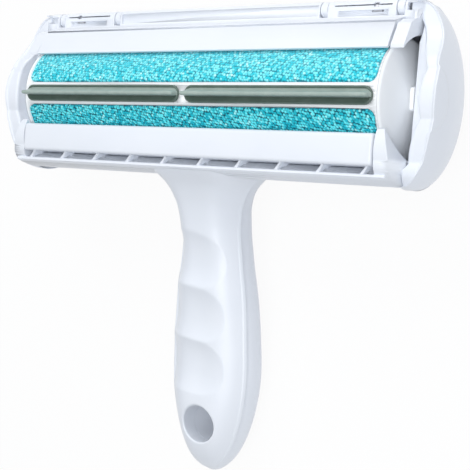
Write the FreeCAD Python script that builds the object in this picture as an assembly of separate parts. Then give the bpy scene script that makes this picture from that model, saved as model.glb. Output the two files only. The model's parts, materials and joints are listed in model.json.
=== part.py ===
"""Pet hair removal brush: a T-shaped hand tool with a rocking drum in a white housing.

Built in the tool's own directions: X along the drum, Y from the handle up to the head,
Z out of the working face.  The drum axis is the line y = z = 0.  At the end everything is
moved so that the tool lies on its back on z = 0, with the origin under its middle.
All sizes are millimetres.
"""
import FreeCAD, Part
import math
import os

V = FreeCAD.Vector
os.makedirs("parts", exist_ok=True)

# Drum
DRUM_R = 20.6            # white barrel
DRUM_WALL = 2.6
DRUM_HALF = 80.9         # half length of the barrel, where the end caps take over
RIM_R = 21.0             # rim of the end caps
CAP_X = 84.6             # outer flat face of the caps
CAP_ROUND = 2.4
WIPER_DEG = -3.2         # the wiper looks a little below the working face
STRIP_HALF_DEG = 12.1    # white strip on each side of the wiper
BAND_DEG = 66.0          # each fabric band round the drum
BAND_HALF = 79.9
BAND_DEPTH = 1.4
FABRIC_R = 20.45
FABRIC_GAP = 0.15
CORNER = 3.0             # window corners
PAD_HALF_H = 3.2
PAD_IN, PAD_OUT = 1.45, 79.4
PAD_FLOOR_R = 19.4
PAD_R = 21.7
PAD_EDGE = 0.6
FIN_R = 25.5             # tip of the wiper fins
FIN_T = 1.5
FIN_FOOT_R = 20.2        # floor of the slot in the pads, where a fin stands
FIN_INSET = 0.15         # a fin ends this far inside its pad
HUB_HALF_Y, HUB_HALF_Z, HUB_H = 4.2, 6.2, 2.2
HUB_ROUND, HUB_EDGE = 1.6, 0.5
SPIGOT = 3.0             # how far a cap reaches into the barrel

# Axles
AXLE_R = 2.0
RUN = 0.05               # running clearance on every turning pin
AXLE_IN, AXLE_OUT = 79.0, 93.4

# Housing
JAW_CLEAR_R = 21.7       # inner radius of both jaws
JAW_HALF = 80.7          # half length of the upper jaw
HEAD_R, HEAD_Y, HEAD_Z = 31.8, 1.8, 1.0    # round back of the head
WALL = 2.0
WALL_IN, WALL_OUT = 85.0, 86.4             # end walls of the frame
WALL_FRONT, WALL_BACK = 7.0, -14.0         # where they open to the front, and where they are whole
WINDOW_R, HUB_CLEAR_R = 22.4, 9.0          # windows in them for the drum's disc and hub
JAW_LOW = (15.6, 16.2)   # upper jaw: lower front edge, then upper front edge
JAW_TOP = (24.6, 12.0)
RIM_STEP = (27.6, 5.3)   # foot of the hinge rim
HINGE_Y, HINGE_Z, HINGE_R = 31.3, 2.4, 2.9
PIN_R = 1.5
COLLAR_R = 2.1
BLOCK_IN, BLOCK_OUT = 50.0, 77.0           # one hinge block, mirrored for the other
LUG_W = 3.0
GAP = 0.3                # between parts that move past one another
LOW_JAW_TOP, LOW_JAW_BOTTOM = -13.1, -24.6
LOW_JAW_FRONT = 20.3
LOW_JAW_HALF = 80.4
RAIL_TOP = -26.8
RAIL_FRONT = 18.6
RIB_PITCH = 17.1
RIB_T = 1.3
RIBS = 10
SLOT_FLOOR = 13.4        # wall behind the ribs
SPLIT_Z = 3.0            # frame in front of it, back shell behind it
LID_TOP_Z, LID_LOW_Y = -1.0, -17.5         # upper and lower edge of the lid
LID_RIBS = (-56.0, -28.0, 0.0, 28.0, 56.0)
CATCH_HALF, CATCH_DEG, CATCH_T = 9.0, 2.4, 2.6    # catch behind the lid's lower edge

# End covers
COVER_X = 98.2           # outermost face of the dome
# radius and x of the rings that the dome runs through
COVER_RINGS = ((31.0, 88.6), (28.6, 90.9), (25.0, 93.3), (20.0, 95.6), (13.4, 97.4), (6.0, 98.2))
COVER_LEAN = 7.0         # degrees: the dome is fuller in front
COVER_DROP = 0.8         # dome's middle below the head's
COVER_WALL = 2.2
COVER_LIP = 3.0          # thickness of the front face
COVER_STEP = 1.3         # step along its wavy inner edge
BOSS_Y, BOSS_Z, BOSS_R = -1.0, 16.0, 11.6
BOSS_H = 0.5

# Handle
HANDLE_WALL = 2.3
HOLE_Y, HOLE_R = -125.6, 7.2
COLLAR_WALL = 2.4
SIDES, SIDES_INSIDE = 24, 10               # flat strips round the handle's outside and its hollow
# height, half width, front z, back z, squareness of the section
STATIONS = [(-25.0, 26.5, 18.2, -15.4, 4.0), (-29.0, 22.4, 16.4, -15.4, 3.8), (-33.0, 18.2, 12.6, -16.0, 3.2),
            (-39.0, 14.9, 8.9, -17.8, 2.8), (-47.0, 13.7, 6.0, -20.4, 2.6),
            (-76.0, 17.2, 0.9, -25.7, 2.4), (-106.0, 18.7, -3.2, -29.9, 2.4), (-119.0, 17.1, -4.1, -30.7, 2.3),
            (-129.0, 14.2, -6.0, -30.2, 2.3), (-137.0, 10.6, -9.3, -27.8, 2.3),
            (-142.0, 6.6, -13.0, -25.7, 2.3), (-145.0, 1.4, -17.2, -21.4, 2.0)]
HOLLOW_END = -140.0
LEDGE = 0.45             # the back is set in behind the front by this much
SCOOP_TOP, SCOOP_PITCH, SCOOPS = -51.4, 20.6, 3
SCOOP_HALF_X, SCOOP_HALF_Y, SCOOP_X, SCOOP_DEPTH = 18.2, 9.8, -9.4, 1.4
PART_Z0, PART_SLOPE = -0.15, 0.105         # parting plane z = PART_Z0 + PART_SLOPE * y


def rad(deg):
    return math.radians(deg)


def polar(r, deg, x=0.0):
    """Point at radius r and angle deg, measured from +Z towards +Y."""
    return V(x, r * math.sin(rad(deg)), r * math.cos(rad(deg)))


def outline_face(outline, place):
    """Face inside a closed outline; a 4-tuple (am, bm, a, b) bends through am, bm."""
    edges, here = [], place(*outline[0][:2])
    for step in list(outline[1:]) + [outline[0][:2]]:
        there = place(step[-2], step[-1])
        if (there - here).Length < 1e-6:
            continue
        if len(step) == 4:
            edges.append(Part.Arc(here, place(step[0], step[1]), there).toShape())
        else:
            edges.append(Part.makeLine(here, there))
        here = there
    return Part.Face(Part.Wire(edges))


def prism(outline, x0, x1):
    """Closed (y, z) outline pushed along X."""
    return outline_face(outline, lambda y, z: V(x0, y, z)).extrude(V(x1 - x0, 0, 0))


def plan(outline, z0, z1):
    """Closed (x, y) outline pushed along Z."""
    return outline_face(outline, lambda x, y: V(x, y, z0)).extrude(V(0, 0, z1 - z0))


def rod(r, x0, x1, y=0.0, z=0.0):
    return Part.makeCylinder(r, x1 - x0, V(x0, y, z), V(1, 0, 0))


def ring(r_in, r_out, x0, x1, y=0.0, z=0.0):
    return rod(r_out, x0, x1, y, z).cut(rod(r_in, x0 - 1, x1 + 1, y, z))


def box(x0, x1, y0, y1, z0, z1):
    return Part.makeBox(x1 - x0, y1 - y0, z1 - z0, V(x0, y0, z0))


def sector(r_in, r_out, deg0, deg1, x0, x1):
    """Part of a ring between two angles."""
    mid = (deg0 + deg1) / 2.0
    a, b, c = (polar(r_out, d) for d in (deg0, mid, deg1))
    d, e, f = (polar(r_in, t) for t in (deg1, mid, deg0))
    return prism([(a.y, a.z), (b.y, b.z, c.y, c.z), (d.y, d.z), (e.y, e.z, f.y, f.z)], x0, x1)


def both(shape):
    """The shape and its mirror image at the other end of the drum."""
    return shape.fuse(shape.mirror(V(0, 0, 0), V(1, 0, 0)))


def mirrored(shape):
    return shape.mirror(V(0, 0, 0), V(1, 0, 0))


def turned(shape, deg):
    """Turned about the drum axis from +Z towards +Y."""
    out = shape.copy()
    out.rotate(V(0, 0, 0), V(1, 0, 0), -deg)
    return out


def rounded_slab(half_x, deg0, deg1, r_in, r_out, corner):
    """Curved slab on the drum with rounded corners, centred on x = 0."""
    slab = sector(r_in, r_out, deg0, deg1, -half_x, half_x)
    corners = [e for e in slab.Edges
               if abs(e.BoundBox.XLength) < 1e-6 and abs(e.Length - (r_out - r_in)) < 1e-3]
    return slab.makeFillet(corner, corners)


# Drum pieces
def stadium(x0, x1, half_h, z0, z1):
    """Upright stadium looking along Z."""
    core = box(x0 + half_h, x1 - half_h, -half_h, half_h, z0, z1)
    for x in (x0 + half_h, x1 - half_h):
        core = core.fuse(Part.makeCylinder(half_h, z1 - z0, V(x, 0, z0), V(0, 0, 1)))
    return core.removeSplitter()


def fabric_angles(side):
    near = STRIP_HALF_DEG
    return (near, near + BAND_DEG) if side > 0 else (-near - BAND_DEG, -near)


def make_drum():
    shell = ring(DRUM_R - DRUM_WALL, DRUM_R, -DRUM_HALF, DRUM_HALF)
    for side in (1, -1):
        a, b = fabric_angles(side)
        shell = shell.cut(rounded_slab(BAND_HALF, a, b, DRUM_R - BAND_DEPTH, DRUM_R + 1, CORNER))
    for x0, x1 in ((-PAD_OUT, -PAD_IN), (PAD_IN, PAD_OUT)):
        shell = shell.cut(stadium(x0, x1, PAD_HALF_H, PAD_FLOOR_R, DRUM_R + 1))
    return turned(shell, WIPER_DEG)


def make_fabric(side):
    a, b = fabric_angles(side)
    inset = math.degrees(FABRIC_GAP / DRUM_R)
    band = rounded_slab(BAND_HALF - FABRIC_GAP, a + inset, b - inset,
                        DRUM_R - BAND_DEPTH, FABRIC_R, CORNER - FABRIC_GAP)
    return turned(band, WIPER_DEG)


def make_pad(x0, x1):
    pad = stadium(x0, x1, PAD_HALF_H, PAD_FLOOR_R, PAD_R)
    top = [e for e in pad.Edges if e.BoundBox.ZMin > PAD_R - 0.01]
    pad = pad.makeChamfer(PAD_EDGE, top)
    pad = pad.cut(box(x0 - 1, x1 + 1, -FIN_T / 2, FIN_T / 2, FIN_FOOT_R, PAD_R + 1))
    return turned(pad, WIPER_DEG)


def make_fin(x0, x1):
    """Wiper fin along the middle of a pad, thinner towards its rounded tip."""
    foot, tip = FIN_T / 2, FIN_T * 0.36
    fin = prism([(-foot, FIN_FOOT_R), (foot, FIN_FOOT_R), (foot, PAD_R + 0.6), (tip, FIN_R - 0.4),
                 (0.0, FIN_R, -tip, FIN_R - 0.4), (-foot, PAD_R + 0.6)], x0 + FIN_INSET, x1 - FIN_INSET)
    return turned(fin, WIPER_DEG)


def make_cap():
    rim = [V(DRUM_HALF, 0, 0), V(DRUM_HALF, RIM_R, 0)]
    for deg in (0.0, 45.0, 90.0):
        rim.append(V(CAP_X - CAP_ROUND * (1 - math.sin(rad(deg))), RIM_R - CAP_ROUND * (1 - math.cos(rad(deg))), 0))
    rim += [V(CAP_X, 0, 0), rim[0]]
    disc = Part.Face(Part.makePolygon(rim)).revolve(V(0, 0, 0), V(1, 0, 0), 360)
    spigot = rod(DRUM_R - DRUM_WALL, DRUM_HALF - SPIGOT, DRUM_HALF)
    hub = box(CAP_X - 0.5, CAP_X + HUB_H, -HUB_HALF_Y, HUB_HALF_Y, -HUB_HALF_Z, HUB_HALF_Z)
    hub = hub.makeFillet(HUB_ROUND, [e for e in hub.Edges if e.BoundBox.XLength > 1.0])
    hub = hub.makeChamfer(HUB_EDGE, [e for e in hub.Edges if e.BoundBox.XMin > CAP_X + HUB_H - 0.01])
    cap = disc.fuse(spigot).fuse(turned(hub, WIPER_DEG))
    return cap.cut(rod(AXLE_R + RUN, DRUM_HALF - SPIGOT - 1, CAP_X + HUB_H + 1)).removeSplitter()


# Head outline
def head_point(deg, r=HEAD_R):
    """Point of the round back, angle from +Z towards +Y about the head's own middle."""
    return (HEAD_Y + r * math.sin(rad(deg)), HEAD_Z + r * math.cos(rad(deg)))


def angle_at_y(y, r=HEAD_R):
    """Angle on the rear half of the round back where it stands at height y."""
    return 180.0 - math.degrees(math.asin((y - HEAD_Y) / r))


def angle_at_z(z, top, r=HEAD_R):
    a = math.degrees(math.acos((z - HEAD_Z) / r))
    return a if top else -a


def under_edge():
    """Underside of the frame, one arc: its start at the rail's front, its middle, its end at the split."""
    return ((RAIL_TOP - 1.2, RAIL_FRONT), (RAIL_TOP - 2.9, (RAIL_FRONT + SPLIT_Z) / 2 + 1.2),
            head_point(angle_at_z(SPLIT_Z, False)))


def envelope(x_half):
    """The whole head as one solid: jaws' fronts, rim, round back and underside."""
    start, middle, end = under_edge()
    top_y, top_z = head_point(angle_at_z(LID_TOP_Z, True))
    back = head_point(180.0)
    return prism([(RAIL_TOP, RAIL_FRONT), (LOW_JAW_TOP, LOW_JAW_FRONT), JAW_LOW, JAW_TOP, RIM_STEP,
                  (HINGE_Y, HINGE_Z + HINGE_R), (HINGE_Y + HINGE_R, HINGE_Z), (top_y, top_z),
                  back + end, middle + start], -x_half, x_half)


# Frame
def upper_jaw():
    """Flat-fronted jaw over the drum, and the hinge rim behind it, which runs on to the end walls."""
    inner_low = (JAW_LOW[0] - 0.35, math.sqrt(JAW_CLEAR_R ** 2 - (JAW_LOW[0] - 0.35) ** 2))
    end_deg = 66.0
    mid_deg = (math.degrees(math.atan2(inner_low[0], inner_low[1])) + end_deg) / 2
    m, e = polar(JAW_CLEAR_R, mid_deg), polar(JAW_CLEAR_R, end_deg)
    rim = [(HINGE_Y, HINGE_Z + HINGE_R), (HINGE_Y + HINGE_R, HINGE_Z, HINGE_Y, HINGE_Z - HINGE_R),
           (HINGE_Y - 4.2, HINGE_Z - HINGE_R), (e.y, e.z)]
    jaw = prism([inner_low, JAW_LOW, JAW_TOP, (JAW_TOP[0] + 0.1, JAW_TOP[1] - 0.9),
                 (JAW_TOP[0] + 0.7, JAW_TOP[1] - 0.9), (JAW_TOP[0] + 0.7, JAW_TOP[1] - 0.3),
                 RIM_STEP] + rim + [(m.y, m.z) + inner_low], -JAW_HALF, JAW_HALF)
    foot = (RIM_STEP[0] - 1.2, RIM_STEP[1] - 0.4)
    return jaw.fuse(prism([foot, RIM_STEP] + rim, -WALL_IN, WALL_IN))


def end_wall():
    """Wall between the drum's end and the cover: whole behind, a ring round the disc, open to the front."""
    wall = rod(HEAD_R, WALL_IN, WALL_OUT, HEAD_Y, HEAD_Z)
    wall = wall.cut(box(WALL_IN - 1, WALL_OUT + 1, -60, 60, WALL_FRONT, 60))
    window = rod(WINDOW_R, WALL_IN - 1, WALL_OUT + 1).cut(box(0, 100, -60, 60, -60, WALL_BACK))
    return wall.cut(window).cut(rod(HUB_CLEAR_R, WALL_IN - 1, WALL_OUT + 1))


def end_flange():
    """Arched end of the upper jaw, seen between the jaw and the cover."""
    plate = prism([(16.4, 15.4), (JAW_TOP[0] - 0.3, JAW_TOP[1] - 0.6), (26.1, 8.4), (26.3, 6.6, 25.4, 4.6),
                   (24.0, 0.0), (12.0, 0.0), (12.0, 15.4)], JAW_HALF + 0.7, WALL_OUT)
    return plate.cut(rod(JAW_CLEAR_R, 0, WALL_OUT + 1))


def cheek():
    """Lower end of the frame beside the drum's disc: a sliver that swells downwards."""
    plate = prism([(-11.8, 18.4), (-16.8, 19.9, -22.2, 19.3), (-26.6, 18.0, -29.0, 13.6), (-30.0, 5.0),
                   (-30.0, SPLIT_Z), (-12.0, SPLIT_Z)], LOW_JAW_HALF + 0.4, WALL_OUT)
    plate = plate.cut(rod(JAW_CLEAR_R, 0, WALL_OUT + 1))
    return plate.cut(plan([(83.2, -11.0), (85.4, -17.5, WALL_OUT, -26.0), (WALL_OUT + 2, -26.0),
                           (WALL_OUT + 2, -11.0)], 5.0, 30.0))


def rail():
    """Rail, underside and the ribs that carry the lower jaw."""
    start, middle, end = under_edge()
    r_in = HEAD_R - WALL
    yi, zi = HEAD_Y + (end[0] - HEAD_Y) * r_in / HEAD_R, SPLIT_Z
    body = prism([(RAIL_TOP, RAIL_FRONT - 1.0), (RAIL_TOP - 0.3, RAIL_FRONT - 0.3, RAIL_TOP - 1.0, RAIL_FRONT),
                  start, middle + end, (yi, zi), (RAIL_TOP - 0.9, 12.0), (RAIL_TOP, 13.0)], -WALL_IN, WALL_IN)
    body = body.fuse(box(-LOW_JAW_HALF, LOW_JAW_HALF, RAIL_TOP - 0.7, LOW_JAW_BOTTOM, SLOT_FLOOR - 1.2, SLOT_FLOOR))
    for k in range(RIBS):
        x = (k - (RIBS - 1) / 2.0) * RIB_PITCH
        body = body.fuse(prism([(RAIL_TOP - 0.5, RAIL_FRONT - 1.0), (LOW_JAW_BOTTOM, 14.2),
                                (LOW_JAW_BOTTOM, 6.0), (yi, 6.0), (RAIL_TOP - 0.8, 10.0)],
                               x - RIB_T / 2, x + RIB_T / 2))
    return body


def frame_cuts():
    """Recesses, slits and pin bores of the hinge rim."""
    cuts = []
    slit = box(BLOCK_IN + 2.6, BLOCK_OUT - 1.6, HINGE_Y + 0.5, HINGE_Y + 1.0, HINGE_Z, HINGE_Z + 6)
    knob = box(68.2, 70.2, HINGE_Y, HINGE_Y + 1.5, HINGE_Z, HINGE_Z + 6)
    tray = prism([(RIM_STEP[0] + 0.6, 3.9), (RIM_STEP[0] + 2.7, 3.9), (RIM_STEP[0] + 2.7, 8), (RIM_STEP[0] + 0.6, 8)],
                 BLOCK_IN + 4.0, BLOCK_OUT - 3.0)
    end = box(BLOCK_OUT + LUG_W + 1.2, WALL_OUT + 1, HINGE_Y - 1.6, HINGE_Y + 1.2, 3.4, 9)
    middle = box(-(BLOCK_IN - LUG_W - 1.0), BLOCK_IN - LUG_W - 1.0, HINGE_Y - 2.6, HINGE_Y + 1.3, 4.2, 9)
    bore = rod(PIN_R + RUN, BLOCK_IN - 5, BLOCK_OUT + 5, HINGE_Y, HINGE_Z)
    collar = rod(COLLAR_R + RUN, 67.0, 71.4, HINGE_Y, HINGE_Z)
    for shape in (slit, knob, tray, end, bore, collar):
        cuts += [shape, mirrored(shape)]
    for x0 in (BLOCK_IN - LUG_W - GAP, BLOCK_OUT):
        notch = box(x0, x0 + LUG_W + GAP, HINGE_Y - HINGE_R - GAP, HINGE_Y + HINGE_R + 1,
                    HINGE_Z - HINGE_R - 3, HINGE_Z + HINGE_R + 1)
        cuts += [notch, mirrored(notch)]
    return cuts + [middle]


def make_frame():
    frame = upper_jaw().fuse([both(end_wall()), both(end_flange()), both(cheek()), rail()])
    frame = frame.cut(rod(JAW_CLEAR_R, -WALL_IN, WALL_IN))
    for shape in frame_cuts():
        frame = frame.cut(shape)
    frame = frame.cut(lip_bar(1))
    return frame.cut(sweep_room()).removeSplitter()


def sweep_room():
    """Room behind the rim for the lid's leading edge."""
    room = ring(HINGE_R, HINGE_R + 2.2, -WALL_IN, WALL_IN, HINGE_Y, HINGE_Z)
    return room.common(box(-WALL_IN, WALL_IN, HINGE_Y - 0.2, HINGE_Y + 9, HINGE_Z - 9, HINGE_Z))


def make_lower_jaw():
    r = JAW_CLEAR_R
    top_in = (LOW_JAW_TOP - 0.5, math.sqrt(r * r - (LOW_JAW_TOP - 0.5) ** 2))
    m, e = polar(r, -45.0), polar(r, -66.0)
    jaw = prism([top_in, (LOW_JAW_TOP, (top_in[1] + LOW_JAW_FRONT) / 2, LOW_JAW_TOP - 1.5, LOW_JAW_FRONT),
                 (LOW_JAW_BOTTOM + 0.5, LOW_JAW_FRONT - 0.3), (LOW_JAW_BOTTOM, LOW_JAW_FRONT - 0.9),
                 (LOW_JAW_BOTTOM, 6.4), (e.y - 1.6, 7.6), (e.y, e.z), (m.y, m.z) + top_in],
                -LOW_JAW_HALF, LOW_JAW_HALF)
    ends = [g for g in jaw.Edges if abs(abs(g.BoundBox.XMin) - LOW_JAW_HALF) < 0.01
            and g.BoundBox.XLength < 0.01 and g.BoundBox.ZMin > LOW_JAW_FRONT - 0.5 and g.Length > 5]
    jaw = jaw.makeFillet(1.4, ends)
    return jaw.cut(lip_bar(-1))


# Inner lips
LIP_DEG = {1: 57.0, -1: -55.0}
LIP_IN, LIP_OUT, LIP_T = 20.95, 23.4, 1.4


def lip_bar(side):
    bar = box(-BAND_HALF, BAND_HALF, -LIP_T / 2, LIP_T / 2, LIP_IN, LIP_OUT)
    return turned(bar, LIP_DEG[side])


# Lid
def make_lid():
    lid_half = WALL_IN - GAP
    a0, a1 = angle_at_z(LID_TOP_Z, True), angle_at_y(LID_LOW_Y)
    mid = (a0 + a1) / 2
    r_in = HEAD_R - WALL
    shell = prism([head_point(a0), head_point(mid) + head_point(a1), head_point(a1, r_in),
                   head_point(mid, r_in) + head_point(a0, r_in)], -lid_half, lid_half)
    a2 = a1 - CATCH_DEG
    catch = prism([head_point(a2, r_in + 0.1), head_point(a2, r_in - 3.0), head_point(a2 - CATCH_T, r_in - 3.0),
                   head_point(a2 - CATCH_T - 1.5, r_in + 0.1)], -CATCH_HALF, CATCH_HALF)
    shell = shell.fuse(catch)
    for x in LID_RIBS:
        rib = prism([head_point(120.0, r_in + 0.2), head_point(155.0, r_in + 0.2) + head_point(190.0, r_in + 0.2),
                     head_point(186.0, r_in - 1.2), head_point(155.0, r_in - 1.2) + head_point(124.0, r_in - 1.2)],
                    x - 0.6, x + 0.6)
        shell = shell.fuse(rib)
    shell = shell.cut(rod(HINGE_R + GAP, -lid_half - 1, lid_half + 1, HINGE_Y, HINGE_Z))
    foot = head_point(a0 + 9.0, HEAD_R - WALL / 2)
    for x0 in (BLOCK_IN - LUG_W, BLOCK_OUT + GAP):
        lug = rod(HINGE_R - 0.1, x0, x0 + LUG_W - GAP, HINGE_Y, HINGE_Z)
        arm = prism([(HINGE_Y + HINGE_R - 0.1, HINGE_Z), (foot[0] + 0.6, foot[1]), (foot[0] - 0.8, foot[1]),
                     (HINGE_Y - 1.6, HINGE_Z - 2.2)], x0, x0 + LUG_W - GAP)
        lug = lug.fuse(arm).cut(rod(PIN_R, x0 - 1, x0 + LUG_W + 1, HINGE_Y, HINGE_Z))
        shell = shell.fuse([lug, mirrored(lug)])
    return shell.removeSplitter()


def make_hinge_pins():
    pin = rod(PIN_R, BLOCK_IN - LUG_W, BLOCK_OUT + LUG_W, HINGE_Y, HINGE_Z)
    pin = pin.fuse(rod(COLLAR_R, 67.4, 71.0, HINGE_Y, HINGE_Z)).removeSplitter()
    return Part.makeCompound([pin, mirrored(pin)])


# Handle
def section(y, w, z_front, z_back, square, shrink=0.0, sides=SIDES):
    """Handle's section at height y: points on |x/w|^p + |z/d|^p = 1, its skin moved inwards by shrink."""
    middle, depth, half = (z_front + z_back) / 2, (z_front - z_back) / 2 - shrink, w - shrink
    pts = []
    for k in range(sides):
        t = 2 * math.pi * (k + 0.5) / sides
        c, s = math.cos(t), math.sin(t)
        pts.append(V(half * math.copysign(abs(c) ** (2 / square), c), y,
                     middle + depth * math.copysign(abs(s) ** (2 / square), s)))
    return Part.makePolygon(pts + pts[:1])


def station(y):
    """Section sizes at any height, between the listed ones."""
    for upper, lower in zip(STATIONS, STATIONS[1:]):
        if upper[0] >= y >= lower[0]:
            f = (upper[0] - y) / (upper[0] - lower[0])
            return [a + f * (b - a) for a, b in zip(upper, lower)]
    raise ValueError(y)


def handle_outside(inset):
    return Part.makeLoft([section(*row, shrink=inset) for row in STATIONS], True, False)


def handle_inside():
    """Hollow of the handle, its wall inside the outline."""
    return Part.makeLoft([section(*row, shrink=HANDLE_WALL, sides=SIDES_INSIDE)
                          for row in STATIONS if row[0] > HOLLOW_END], True, True)


def front_side(y_low=-160.0, y_high=0.0):
    """Everything in front of the parting plane."""
    z = [PART_Z0 + PART_SLOPE * y for y in (y_low, y_high)]
    return prism([(y_low, z[0]), (y_high, z[1]), (y_high, 60.0), (y_low, 60.0)], -40, 40)


def scoop(k):
    """Finger hollow: deep under its curved top edge, running out to nothing lower down."""
    top = SCOOP_TOP - k * SCOOP_PITCH
    low = top - 2 * SCOOP_HALF_Y
    depths = ((top + 1.0, SCOOP_DEPTH), ((top + low) / 2, SCOOP_DEPTH * 0.65), (low - 1.0, -SCOOP_DEPTH * 0.2))
    floor = Part.makeLoft([section(*station(y), shrink=depth) for y, depth in depths], True, False)
    edge = Part.Ellipse(V(SCOOP_X, (top + low) / 2, -8.0), SCOOP_HALF_X, SCOOP_HALF_Y)
    window = Part.Face(Part.Wire([edge.toShape()])).extrude(V(0, 0, 30))
    return window.cut(floor)


def make_handle():
    below = V(0, HOLE_Y, -60)
    collar = Part.makeCylinder(HOLE_R + COLLAR_WALL, 120, below, V(0, 0, 1))
    hole = Part.makeCylinder(HOLE_R, 120, below, V(0, 0, 1))
    waste = handle_inside().cut(collar).fuse([hole, envelope(WALL_OUT)])
    front = handle_outside(0.0).common(front_side()).cut(waste)
    back = handle_outside(LEDGE).cut(front_side()).cut(waste)
    for k in range(SCOOPS):
        front = front.cut(scoop(k))
    return front, back


def make_back_shell():
    """Lower part of the round back, with the button's hole and the bridge for its spring."""
    a0, a1 = angle_at_z(SPLIT_Z, False) + 360.0, angle_at_y(LID_LOW_Y - GAP)
    mid = (a0 + a1) / 2
    r_in = HEAD_R - WALL
    floor = prism([head_point(a0), head_point(mid) + head_point(a1), head_point(a1, r_in),
                   head_point(mid, r_in) + head_point(a0, r_in)], -WALL_IN, WALL_IN)
    return floor.fuse(spring_seat()).cut(button_hole())


# End covers
def dome(step, rings):
    """Round end of the head through the rings, leaning forward; step moves its skin inwards."""
    outline = [V(WALL_IN - 6, 0, 0), V(WALL_IN - 6, HEAD_R - step, 0), V(WALL_OUT - step, HEAD_R - step, 0)]
    outline += [V(x - step, r - step, 0) for r, x in rings]
    outline += [V(outline[-1].x, 0, 0), outline[0]]
    solid = Part.Face(Part.makePolygon(outline)).revolve(V(0, 0, 0), V(1, 0, 0), 360)
    solid.rotate(V(WALL_OUT, 0, 0), V(0, 1, 0), COVER_LEAN)
    solid.translate(V(0, HEAD_Y - COVER_DROP, HEAD_Z))
    return solid


def behind_front(step):
    """Everything behind the cover's scalloped front face, moved back by step."""
    outline = [(60.0, 4.8), (32.5, 4.8), (24.0, 5.2), (18.5, 7.6, 14.0, 10.9), (11.4, 12.3, 8.7, 12.9),
               (0.8, 15.0, -7.7, 13.6), (-14.5, 13.2, -22.0, 11.2), (-27.4, 10.4, -31.5, 7.0), (-60.0, 7.0),
               (-60.0, -60.0), (60.0, -60.0)]
    shape = prism(outline, WALL_OUT, COVER_X + 10)
    shape.translate(V(0, 0, -step))
    return shape


def mouth(step):
    """Opening beside the drum's hub, with a wavy edge of four lobes, moved outwards by step."""
    shape = plan([(80.0, 27.0), (WALL_OUT, 27.0), (88.4, 22.4, 90.0, 17.0), (92.2, 12.4, 93.5, 8.7),
                  (92.4, -0.5, 92.9, -7.7), (90.2, -14.5, 88.8, -22.0), (87.8, -23.6, WALL_OUT, -24.5),
                  (80.0, -24.5)], 5.0, 30.0)
    shape.translate(V(step, 0, 0))
    return shape


def make_cover():
    """Dished cover: full round shoulder, and a thick front face with a wavy, stepped inner edge."""
    skin, hollow = dome(0.0, COVER_RINGS), dome(COVER_WALL, COVER_RINGS[::2])
    foot = rod(HEAD_R, WALL_OUT, WALL_OUT + 0.8, HEAD_Y, HEAD_Z)
    boss = dome(-BOSS_H, COVER_RINGS[3:]).common(rod(BOSS_R, WALL_OUT + 2, COVER_X + 10, BOSS_Y, BOSS_Z))
    hub_post = rod(AXLE_R + 2.6, WALL_IN, COVER_X + 10)
    shell = skin.fuse([foot, boss]).cut(hollow.common(behind_front(COVER_LIP)).cut(hub_post))
    shell = shell.common(behind_front(0.0)).cut(mouth(0.0))
    shell = shell.cut(mouth(COVER_STEP).cut(behind_front(COVER_STEP)))
    shell = shell.cut(rod(AXLE_R + 3.4, WALL_IN - 2, CAP_X + HUB_H + 0.5))
    return shell.cut(rod(AXLE_R, WALL_IN - 2, AXLE_OUT)).removeSplitter()


def make_axles():
    pin = rod(AXLE_R, AXLE_IN, AXLE_OUT)
    return Part.makeCompound([pin, mirrored(pin)])


# Release button
BUTTON_DEG = 226.5
BUTTON_HALF_X, BUTTON_HALF_Y = 9.0, 3.3
BUTTON_PROUD, BUTTON_EDGE = 2.2, 0.7
FLANGE, FLANGE_OUT, FLANGE_IN = 1.2, -2.5, -3.6
BUTTON_TRAVEL = 1.4
SEAT_HALF_X, SEAT_HALF_Y, SEAT_IN, SEAT_T = 12.2, 2.9, -8.0, 1.2
SPRING_HALF_X, SPRING_HALF_Y, SPRING_T = 9.6, 1.9, 0.35


def on_head(shape):
    """Moves a shape built round the origin, Z outwards, to the button's place."""
    y, z = head_point(BUTTON_DEG)
    out = shape.copy()
    out.rotate(V(0, 0, 0), V(1, 0, 0), -BUTTON_DEG)
    out.translate(V(0, y, z))
    return out


def make_button():
    body = stadium(-BUTTON_HALF_X, BUTTON_HALF_X, BUTTON_HALF_Y, FLANGE_IN + 0.2, BUTTON_PROUD)
    body = body.makeChamfer(BUTTON_EDGE, [e for e in body.Edges if e.BoundBox.ZMin > BUTTON_PROUD - 0.01])
    flange = stadium(-BUTTON_HALF_X - FLANGE, BUTTON_HALF_X + FLANGE, BUTTON_HALF_Y + FLANGE, FLANGE_IN, FLANGE_OUT)
    return on_head(body.fuse(flange).removeSplitter())


def button_hole():
    return on_head(stadium(-BUTTON_HALF_X - GAP, BUTTON_HALF_X + GAP, BUTTON_HALF_Y + GAP, FLANGE_OUT, 6.0))


def spring_seat():
    """Bridge behind the button that its spring stands on."""
    outer = box(-SEAT_HALF_X, SEAT_HALF_X, -SEAT_HALF_Y, SEAT_HALF_Y, SEAT_IN, -WALL / 2)
    inner = box(-SEAT_HALF_X + SEAT_T, SEAT_HALF_X - SEAT_T, -9.0, 9.0, SEAT_IN + SEAT_T, 0.0)
    return on_head(outer.cut(inner))


def make_spring():
    """Bowed steel strip: its ends stand on the bridge, its middle carries the button."""
    low, high = SEAT_IN + SEAT_T, FLANGE_IN
    strip = outline_face([(-SPRING_HALF_X, low), (0.0, high - SPRING_T, SPRING_HALF_X, low),
                          (SPRING_HALF_X, low + SPRING_T), (0.0, high, -SPRING_HALF_X, low + SPRING_T)],
                         lambda x, z: V(x, -SPRING_HALF_Y, z)).extrude(V(0, 2 * SPRING_HALF_Y, 0))
    return on_head(strip)


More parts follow.
